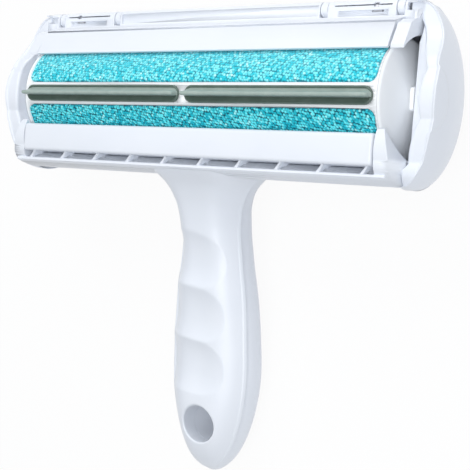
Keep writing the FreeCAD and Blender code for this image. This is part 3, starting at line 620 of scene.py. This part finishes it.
def handle_skin(side, columns=120, rows=210):
    """One half of the handle as closed sections: the front for side 1, the back for side -1.
    The back half is a superellipse: x = w * cos(t)^(2/p), z = middle - d * sin(t)^(2/p). The front half
    is a flatter arch over the same edge, z = front - (front - plane) * |x / edge|^arch, which meets the
    parting plane at a slant, so a soft line shows along the side."""
    q = np.linspace(-1.0, 1.0, columns)

    def skin(y):
        w, front, back, p = through_stations(y)
        middle, d = (front + back) / 2, np.maximum((front - back) / 2, 1e-6)
        level = np.clip((parting(y) - middle) / d, -1.0, 1.0)
        edge = w * (1 - np.abs(level) ** p) ** (1 / p)
        if side > 0:
            x = edge * np.sin(q * math.pi / 2)
            arch = ARCH + 3.4 * np.clip((y + 58.0) / 30.0, 0.0, 1.0) ** 1.5
            z = front - (front - parting(y)) * np.abs(x / np.maximum(edge, 1e-6)) ** arch
            return x, np.maximum(z, parting(y))
        first = np.arcsin(-np.sign(level) * np.abs(level) ** (p / 2))
        t = math.pi / 2 + (math.pi / 2 - first) * (0.55 * q + 0.45 * np.sin(q * math.pi / 2))
        c, up = np.cos(t), np.sin(t)
        inset = LEDGE * np.clip(w / 5.0, 0.0, 1.0)
        x = -(w - inset) * np.sign(c) * np.abs(c) ** (2 / p)
        return x, middle - (d - inset * 0.8) * np.sign(up) * np.abs(up) ** (2 / p)

    y = np.full((1, columns), -29.0)
    for _ in range(6):
        y = root_height(skin(y)[1]) - (ROOT_SINK if side > 0 else 0.0)
    share = np.linspace(0.0, 1.0, rows)[:, None]
    last = FRONT_END if side > 0 else END_Y + 0.02
    eased = np.sin(share * math.pi / 2)
    y = y + (last - y) * (0.5 * share + 0.5 * eased * (2 - eased))
    x, z = skin(y)
    if side > 0:
        inward = np.hypot(x, DENT_AIM)
        sink = hollow_depth(x, y) * np.clip((z - parting(y)) / 3.0, 0.0, 1.0)
        x, z = x * (1 - sink / inward * DENT_PULL), z - sink * DENT_AIM / inward
        step = np.hypot(np.diff(x, axis=1), np.diff(z, axis=1))
        run = np.concatenate([np.zeros((rows, 1)), np.cumsum(step, axis=1)], axis=1)
        from_edge = np.minimum(run, run[:, -1:] - run)
        bead = np.clip(1.0 - ((from_edge - BEAD_AT) / BEAD_HALF) ** 2, 0.0, 1.0)
        z = z + BEAD * bead * np.clip(run[:, -1:] / BEAD_FADE - 1, 0, 1)
        inside = np.clip(SEAM_R - from_edge, 0.0, SEAM_R)
        x = x - np.sign(x) * np.minimum(SEAM_R - np.sqrt(SEAM_R ** 2 - inside ** 2), np.abs(x))
    base = np.linspace(1.0, 0.0, 14)[1:-1][None, :]
    flat_x = x[:, -1:] * base + x[:, :1] * (1 - base)
    flat_y = y[:, -1:] * base + y[:, :1] * (1 - base)
    flat_z = z[:, -1:] * base + z[:, :1] * (1 - base)
    points = np.stack([np.concatenate([x, flat_x], axis=1), np.concatenate([y, flat_y], axis=1) + AXIS_Y,
                       np.concatenate([z, flat_z], axis=1) + AXIS_Z], axis=-1)
    return points * MM


# %% [markdown]
# The spool that cuts the hanging hole is a stack of rings round the hole's middle. Near each face of
# the handle the rings widen by a quarter circle, measured from the skin's own height at that place,
# so the rim is equally round all the way.

# %% Hanging hole
HOLE_Y, HOLE_R, RIM = -125.6, 7.2, 0.9


def spool(name):
    """Ring at angle a and radius r: x = r cos a, y = hole + r sin a, its height from the skin there."""
    a = np.linspace(0.0, 2 * math.pi, 96, endpoint=False)
    swell = np.linspace(0.0, math.pi / 2, 8)
    radii = HOLE_R + RIM * (1 - np.cos(swell))
    lift = RIM * np.sin(swell) - RIM

    def face(r, side):
        x, y = r * np.cos(a), HOLE_Y + r * np.sin(a)
        w, front, back, p = through_stations(y)
        middle, d = (front + back) / 2, (front - back) / 2
        if side < 0:
            return middle - (d - LEDGE) * (1 - np.clip(np.abs(x) / w, 0, 1) ** p) ** (1 / p)
        edge = w * (1 - np.abs((parting(y) - middle) / d) ** p) ** (1 / p)
        return front - (front - parting(y)) * np.abs(x / edge) ** ARCH

    rings = [(radii[-1] + 0.6, lambda r: np.full(a.shape, -45.0))]
    rings += [(r, lambda r, h=h: face(r, -1) - h) for r, h in zip(radii[::-1], lift[::-1])]
    rings += [(r, lambda r, h=h: face(r, 1) + h) for r, h in zip(radii, lift)]
    rings += [(radii[-1] + 0.6, lambda r: np.full(a.shape, 8.0))]
    points = np.stack([np.stack([r * np.cos(a), HOLE_Y + r * np.sin(a) + AXIS_Y,
                                 height(r) + AXIS_Z], axis=-1) for r, height in rings])
    return body_from_grid(name, points * MM, housing_white)


def bored(piece, cutter):
    """Take the cutter's shape out of the piece."""
    cut = piece.modifiers.new("hole", "BOOLEAN")
    cut.object = cutter
    cut.solver = "EXACT"
    graph = bpy.context.evaluated_depsgraph_get()
    mesh = bpy.data.meshes.new_from_object(piece.evaluated_get(graph))
    piece.modifiers.clear()
    piece.data = mesh
    mesh.shade_smooth()
    mesh.set_sharp_from_angle(angle=math.radians(45))


cutter = spool("hole tool")
for name, node, side in (("handle_grip", "handle_front", 1), ("handle_rear", "handle_back", -1)):
    half = body_from_grid(name, handle_skin(side), housing_white)
    bored(half, cutter)
    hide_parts(node)
    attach(half, "housing")
    report(half)
bpy.data.objects.remove(cutter)

# %% [markdown]
# ## End covers
#
# Each end of the head has a dished cover: a dome, cut off in front by a wavy face, with a mouth that
# shows the drum's disc. The dome is half an ellipsoid that leans 7 degrees forward. A cut across it at
# any height is an arch of an ellipse, so the cover is built from such cuts: up the mouth's wall, round
# its soft edge, over the front face to a fine raised rim, down the dome, and back inside. The mouth
# and the front face are given as a few arcs between cusps; a parabola through an arc's two ends and
# middle is close enough at this size. A round boss stands half a millimetre proud on the dome.

# %% Outlines of the cover
WALL_X, DOME_X, LEAN = 86.4, 11.8, math.radians(7.0)
DOME_Y, DOME_Z, COVER_HALF = 1.0, 1.0, 31.75
# height and depth of the front face's outline, and height and x of the mouth's: end, middle, end
FACE_ARCS = [(-31.5, 7.0), (-27.4, 10.4), (-22.0, 11.2), (-14.5, 13.2), (-7.7, 13.6), (0.8, 15.0),
             (8.7, 12.9), (11.4, 12.3), (14.0, 10.9), (18.5, 7.6), (24.0, 5.2), (28.0, 4.9), (33.0, 4.8)]
MOUTH_ARCS = [(-24.6, 86.4), (-23.6, 87.8), (-22.0, 88.8), (-14.5, 90.2), (-7.7, 92.9), (-0.5, 92.4),
              (8.7, 93.5), (12.4, 92.2), (17.0, 90.0), (22.4, 88.4), (27.0, 86.4)]
BOSS_Y, BOSS_Z, BOSS_R, BOSS_H = -1.0, 16.0, 11.6, 0.45
MOUTH_FLOOR, EDGE_R, RIM_W, RIM_H = 6.6, 1.2, 0.8, 0.5


def along_arcs(y, arcs):
    """Parabolas through three points each, one after the other; level beyond both ends."""
    points = np.array(arcs)
    value = np.interp(y, points[:, 0], points[:, 1])
    for k in range(0, len(points) - 2, 2):
        (a, fa), (b, fb), (c, fc) = points[k:k + 3]
        curve = (fa * (y - b) * (y - c) / ((a - b) * (a - c)) + fb * (y - a) * (y - c) / ((b - a) * (b - c))
                 + fc * (y - a) * (y - b) / ((c - a) * (c - b)))
        value = np.where((y >= a) & (y <= c), curve, value)
    return value


# %% Cover skin
def cover(name, node, side, rows=250):
    """Closed sections at constant height. Dome at angle t: dx = a sin t, dz = b cos t, leaned forward."""
    y = DOME_Y - COVER_HALF * np.cos(np.linspace(0.0, math.pi, rows))[:, None]
    reach = np.sqrt(np.clip(HEAD_R ** 2 - (y - DOME_Y) ** 2, 0.01, None))
    a, (c, s) = DOME_X * reach / HEAD_R, (math.cos(LEAN), math.sin(LEAN))
    face = along_arcs(y, FACE_ARCS)
    t = np.full(y.shape, 1.2)
    for _ in range(30):
        t = np.arccos(np.clip((face - DOME_Z + a * np.sin(t) * s) / (c * reach), -1.0, 1.0))
    stop = math.pi - math.atan(HEAD_R / DOME_X * math.tan(LEAN))
    share = np.linspace(0.0, 1.0, 64)[None, :]
    t = t + (stop - t) * share
    dome_x = WALL_X + a * np.sin(t) * c + reach * np.cos(t) * s
    dome_z = DOME_Z - a * np.sin(t) * s + reach * np.cos(t) * c
    proud = np.clip((BOSS_R - np.hypot(y - BOSS_Y, dome_z - BOSS_Z)) / 0.5, 0.0, 1.0)
    dome_x = dome_x + BOSS_H * proud ** 2 * (3 - 2 * proud)
    top = np.minimum(face, dome_z[:, :1])
    mouth = np.minimum(along_arcs(y, MOUTH_ARCS), dome_x[:, :1] - EDGE_R - RIM_W - 0.4)
    mouth = np.maximum(mouth, WALL_X - 2.0)
    floor = np.minimum(MOUTH_FLOOR, top - 1.0)
    turn = np.linspace(0.0, math.pi / 2, 9)[None, :]
    edge_x, edge_z = mouth + EDGE_R * (1 - np.cos(turn)), top - RIM_H - EDGE_R * (1 - np.sin(turn))
    right = dome_x[:, :1]
    flat = np.linspace(0.0, 1.0, 8)[None, 1:]
    flat_x = (mouth + EDGE_R) + (right - RIM_W - 0.25 - mouth - EDGE_R) * flat
    back_z = DOME_Z - np.sqrt(np.clip(HEAD_R ** 2 - (y - HEAD_Y) ** 2, 0.0, None))
    ones = np.ones_like(y)
    wall_z = np.minimum(back_z, dome_z[:, -1:])
    x = np.concatenate([mouth, edge_x, flat_x, right - RIM_W, right - RIM_W + 0.2, right - 0.2, dome_x,
                        (WALL_X + 0.8) * ones, (WALL_X + 0.7) * ones, WALL_X * ones,
                        (WALL_X + 1.0) * ones, (WALL_X + 1.0) * ones], axis=1)
    z = np.concatenate([floor, edge_z, top - RIM_H + 0 * flat, top - 0.22, top - 0.03, top, dome_z,
                        wall_z + 0.15, wall_z, wall_z, np.minimum(back_z + 2.0, floor - 0.4),
                        floor - 0.2], axis=1)
    points = np.stack([side * x, y + AXIS_Y + 0 * x, z + AXIS_Z], axis=-1) * MM
    piece = body_from_grid(name, points, housing_white)
    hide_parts(node)
    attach(piece, "housing")
    report(piece)


cover("cover_right", "end_cover_right", 1)
cover("cover_left", "end_cover_left", -1)

# %% [markdown]
# ## Ends of the drum
#
# A disc closes each end of the barrel. Its face is a very flat cone that rolls over into its rim,
# turned about the drum's axis. A rectangular hub with soft corners stands on it and runs on the
# axle pin.

# %% Discs and hubs
RIM_R, DISC_IN, DISC_OUT, DISC_SLOPE, DISC_ROLL = 21.0, 80.92, 86.2, 0.225, 1.2
HUB_Y, HUB_Z, HUB_TOP, HUB_EDGE, HUB_SQUARE = 4.2, 6.2, 86.8, 0.5, 7


def disc(name, node, side):
    """Ring at radius r: a flat cone that drops from the middle to the rim, x = out - slope * r, rolled
    over within 1.2 mm of the rim as a quarter circle."""
    t = np.linspace(0.0, 2 * math.pi, 160, endpoint=False)[None, :]
    share = 1.0 - np.linspace(0.0, 1.0, 44)[:, None] ** 2
    r = np.concatenate([[[0.1]], [[RIM_R - 0.25]], RIM_R * share[:-1], [[0.1]]], axis=0)
    roll = np.clip(r - (RIM_R - DISC_ROLL), 0.0, DISC_ROLL)
    x = DISC_OUT - DISC_SLOPE * r + np.sqrt(DISC_ROLL ** 2 - roll ** 2) - DISC_ROLL
    x[:2] = DISC_IN
    x = np.maximum(x, DISC_IN)
    points = np.stack([side * x + 0 * t, r * np.sin(t) + AXIS_Y, r * np.cos(t) + AXIS_Z], axis=-1) * MM
    piece = body_from_grid(name, points, drum_white_painted_light)
    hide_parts(node)
    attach(piece, "drum")
    report(piece)


def hub(name, side):
    """Section |y / a|^7 + |z / b|^7 = 1, drawn in at its top by a rounded edge."""
    t = np.linspace(0.0, 2 * math.pi, 96, endpoint=False)[None, :]
    ease = np.linspace(0.0, math.pi / 2, 6)[:, None]
    x = np.concatenate([[[DISC_OUT - 0.8]], HUB_TOP - HUB_EDGE + HUB_EDGE * np.sin(ease)], axis=0)
    inset = np.concatenate([[[0.0]], HUB_EDGE * (1 - np.cos(ease))], axis=0)
    c, s = np.cos(t), np.sin(t)
    y = (HUB_Y - inset) * np.sign(s) * np.abs(s) ** (2 / HUB_SQUARE)
    z = (HUB_Z - inset) * np.sign(c) * np.abs(c) ** (2 / HUB_SQUARE)
    tilt = WIPER_TILT
    points = np.stack([side * x + 0 * t, y * math.cos(tilt) + z * math.sin(tilt) + AXIS_Y,
                       z * math.cos(tilt) - y * math.sin(tilt) + AXIS_Z], axis=-1) * MM
    piece = body_from_grid(name, points, drum_white_painted_light)
    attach(piece, "drum")
    report(piece)


for side, word in ((1, "right"), (-1, "left")):
    disc(f"disc_{word}", f"drum_cap_{word}", side)
    hub(f"hub_{word}", side)

# %% [markdown]
# ## Lower jaw and slot ribs
#
# The lower jaw is a bar with a gently crowned front and soft edges. Its profile is a list of corners,
# and each corner is cut by an arc, so light runs round it in a narrow band. Near both ends the profile
# is drawn in a little towards its middle, which rounds the ends as well. Ten slanted ribs tie the jaw
# to the rail below it, and the slots between them are what the hair falls past.

# %% Lower jaw
JAW_HALF, JAW_END_R, JAW_DRAW = 80.4, 1.1, 0.16
# corners of the profile in height and depth, each with the radius of its arc
JAW_CORNERS = [(-13.3, 17.0, 0.4), (-13.3, 20.25, 1.5), (-19.0, 20.55, 12.0), (-24.25, 20.2, 1.2),
               (-24.5, 6.5, 0.5), (-21.4, 7.6, 0.4), (-19.85, 8.85, 0.4), (-15.35, 15.35, 6.0)]


def rounded(corners, steps=7):
    """Closed outline: each corner is replaced by a parabola that starts and ends a radius away."""
    points = np.array(corners)
    at, radius = points[:, :2], points[:, 2:3]
    before, after = np.roll(at, 1, axis=0) - at, np.roll(at, -1, axis=0) - at
    near = np.hypot(*before.T)[:, None], np.hypot(*after.T)[:, None]
    start = at + before / near[0] * np.minimum(radius, near[0] * 0.45)
    end = at + after / near[1] * np.minimum(radius, near[1] * 0.45)
    k = np.linspace(0.0, 1.0, steps)[None, :, None]
    curve = (1 - k) ** 2 * start[:, None] + 2 * k * (1 - k) * at[:, None] + k ** 2 * end[:, None]
    return curve.reshape(-1, 2)


outline = rounded(JAW_CORNERS)
ease = np.linspace(0.0, math.pi / 2, 8)
stations = np.concatenate([[-JAW_HALF], -JAW_HALF + JAW_END_R * (1 - np.cos(ease[1:])), [-40.0, 0.0, 40.0],
                           JAW_HALF - JAW_END_R * (1 - np.cos(ease[:0:-1])), [JAW_HALF]])
past = np.clip(1 - (JAW_HALF - np.abs(stations)) / JAW_END_R, 0, 1)
draw_in = 1.0 - JAW_DRAW * (1 - np.sqrt(1 - past ** 2))
middle_of = outline.mean(axis=0)
profile = middle_of + (outline - middle_of)[None] * draw_in[:, None, None]
points = np.stack([np.broadcast_to(stations[:, None], profile.shape[:2]), profile[:, :, 0] + AXIS_Y,
                   profile[:, :, 1] + AXIS_Z], axis=-1) * MM
jaw = body_from_grid("jaw_bar", points, housing_white)
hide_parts("lower_jaw")
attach(jaw, "housing")
report(jaw)

# %% Slot ribs
RIB_COUNT, RIB_PITCH, RIB_SLANT, RIB_HALF = 10, 17.1, 2.4, 0.6
RIB_LOW, RIB_RISE = -27.3, 3.5
for number in range(RIB_COUNT):
    x0 = (number - (RIB_COUNT - 1) / 2) * RIB_PITCH
    up = np.linspace(0.0, 1.0, 9)[:, None]
    spread = RIB_HALF * (1 + 0.7 * (1 - up) ** 4)
    ring = np.array([(-1, 13.0), (1, 13.0), (1, 17.6), (0.8, 17.9), (-0.8, 17.9), (-1, 17.6)])
    x = x0 + (up - 0.5) * RIB_SLANT + spread * ring[None, :, 0]
    y = RIB_LOW + RIB_RISE * up + AXIS_Y + 0 * ring[None, :, 0]
    points = np.stack([x, y, ring[None, :, 1] + AXIS_Z + 0 * up], axis=-1) * MM
    rib = body_from_grid(f"slot_rib_{number + 1}", points, housing_white)
    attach(rib, "housing")
print("slot ribs:", RIB_COUNT)

# %% [markdown]
# ## Finishing the moulded parts
#
# The other plastic parts keep the shapes that the CAD gives them. Their meshes come as loose
# triangles, so each is copied, its doubled points are merged, and its faces are shaded smooth except
# along real edges. What counts as a real edge is an angle: the round drum and button take a slightly
# larger one than the small steps of the frame.


# %% Finished copies
def finished(node, material, edge_degrees):
    """Merged, smooth-shaded copy of a CAD node, which stands for the node."""
    source = frame["nodes"][node]
    mesh = source.data.copy()
    mesh.name = node + "_finished"
    work = bmesh.new()
    work.from_mesh(mesh)
    bmesh.ops.remove_doubles(work, verts=work.verts, dist=2e-6)
    bmesh.ops.dissolve_degenerate(work, dist=1e-6, edges=work.edges)
    work.to_mesh(mesh)
    work.free()
    mesh.materials.clear()
    mesh.materials.append(material)
    mesh.shade_smooth()
    mesh.set_sharp_from_angle(angle=math.radians(edge_degrees))
    piece = bpy.data.objects.new(node + "_finished", mesh)
    scene.collection.objects.link(piece)
    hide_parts(node)
    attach(piece, source["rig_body"])
    return piece


for node, angle in {"front_frame": 28, "back_shell": 28, "dust_lid": 28, "release_button": 30}.items():
    report(finished(node, housing_white, angle))
report(finished("drum_shell", drum_white_painted_light, 30))

# %% [markdown]
# The bowed spring under the button is a copy too, with a mesh of its own. The other small hidden
# parts stay as the CAD made them and only change their material.

# %% Spring
spring = finished("button_spring", steel, 40)
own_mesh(spring)
report(spring)

# %% Carried-over parts
for node, material in {"lip_upper": lip_rubber, "lip_lower": lip_rubber, "axle_pins": steel,
                       "hinge_pins": steel}.items():
    data_slots = frame["nodes"][node].material_slots
    if data_slots:
        for one in data_slots:
            one.material = material
    else:
        frame["nodes"][node].data.materials.append(material)
print("carried over with new finishes: lips and pins")

# %% [markdown]
# ## Floor and light
#
# The floor is a plain pale plane under the tool. The camera and mirror-like surfaces see it almost
# white, through the Light Path node, but 7 hundredths of what they see stay ordinary paint, so the
# tool still has a soft shadow. The light comes from one large panel beyond the head, a second one
# above the working face on the camera's side, and a dim white sky.

# %% Floor
floor_mesh = bpy.data.meshes.new("floor")
reach = 4.0
floor_mesh.from_pydata([(-reach, -reach, 0), (reach, -reach, 0), (reach, reach, 0), (-reach, reach, 0)], [],
                       [(0, 1, 2, 3)])
floor = bpy.data.objects.new("floor", floor_mesh)
scene.collection.objects.link(floor)
floor_paint = bpy.data.materials.new("floor paint")
floor_paint.use_nodes = True
nodes, links = floor_paint.node_tree.nodes, floor_paint.node_tree.links
nodes.clear()
output = nodes.new("ShaderNodeOutputMaterial")
paint = nodes.new("ShaderNodeBsdfDiffuse")
paint.inputs["Color"].default_value = (0.84, 0.85, 0.87, 1.0)
glow = nodes.new("ShaderNodeEmission")
glow.inputs["Color"].default_value = (1.0, 1.0, 1.0, 1.0)
path = nodes.new("ShaderNodeLightPath")
seen = nodes.new("ShaderNodeMath")
seen.operation = "ADD"
seen.use_clamp = True
links.new(path.outputs["Is Camera Ray"], seen.inputs[0])
links.new(path.outputs["Is Glossy Ray"], seen.inputs[1])
seen_too = nodes.new("ShaderNodeMath")
seen_too.operation = "ADD"
seen_too.use_clamp = True
links.new(seen.outputs["Value"], seen_too.inputs[0])
links.new(path.outputs["Is Transmission Ray"], seen_too.inputs[1])
share = nodes.new("ShaderNodeMath")
share.operation = "MULTIPLY"
share.inputs[1].default_value = 0.93
links.new(seen_too.outputs["Value"], share.inputs[0])
blend = nodes.new("ShaderNodeMixShader")
links.new(share.outputs["Value"], blend.inputs["Fac"])
links.new(paint.outputs["BSDF"], blend.inputs[1])
links.new(glow.outputs["Emission"], blend.inputs[2])
links.new(blend.outputs["Shader"], output.inputs["Surface"])
floor_mesh.materials.append(floor_paint)
print("floor reaches", reach, "m each way")


# %% Lamps and sky
def panel(name, place, target, size, watts, colour):
    """Square area lamp that faces the target."""
    lamp = bpy.data.lights.new(name, "AREA")
    lamp.shape = "SQUARE"
    lamp.size = size
    lamp.energy = watts
    lamp.color = colour
    holder = bpy.data.objects.new(name, lamp)
    holder.location = place
    holder.rotation_euler = (Vector(target) - Vector(place)).to_track_quat("-Z", "Y").to_euler()
    scene.collection.objects.link(holder)


middle = (0.0, 0.03, 0.03)
panel("key panel", (-0.05, 0.62, 0.55), middle, 0.50, 2.9, (1.0, 1.0, 1.0))
panel("fill panel", (0.32, -0.05, 0.74), middle, 0.6, 3.55, (0.98, 0.99, 1.0))
sky = bpy.data.worlds.new("sky")
scene.world = sky
sky.use_nodes = True
sky.node_tree.nodes["Background"].inputs["Color"].default_value = (0.94, 0.97, 1.0, 1.0)
sky.node_tree.nodes["Background"].inputs["Strength"].default_value = 0.42

# %% [markdown]
# ## Camera
#
# The photograph was taken from in front of the working face and well to the right of it, with a long
# lens. The place, the point looked at and the slight roll were fitted to the straight edges of the
# jaws and to the round ends of the drum. The picture is 470 by 470 pixels.

# %% Camera
CAMERA_PLACE = Vector((0.26353, 0.01047, 0.38255))
CAMERA_TARGET = Vector((0.0156, 0.00404, 0.0308))
ROLL = math.radians(4.82)

lens = bpy.data.cameras.new("camera")
lens.sensor_width = 36.0
lens.lens = 88.1
lens.shift_x, lens.shift_y = -0.00547, 0.00106
lens.clip_start, lens.clip_end = 0.01, 20.0
camera = bpy.data.objects.new("camera", lens)
scene.collection.objects.link(camera)
backward = (CAMERA_PLACE - CAMERA_TARGET).normalized()
level = Vector((0.0, 1.0, 0.0)).cross(backward).normalized()
upright = backward.cross(level)
right = math.cos(ROLL) * level + math.sin(ROLL) * upright
up = backward.cross(right)
turn = Matrix((right, up, backward)).transposed()
camera.matrix_world = Matrix.Translation(CAMERA_PLACE) @ turn.to_4x4()
scene.camera = camera
scene.view_settings.view_transform = "Standard"
print("camera is", round((CAMERA_PLACE - CAMERA_TARGET).length, 3), "m from what it looks at")
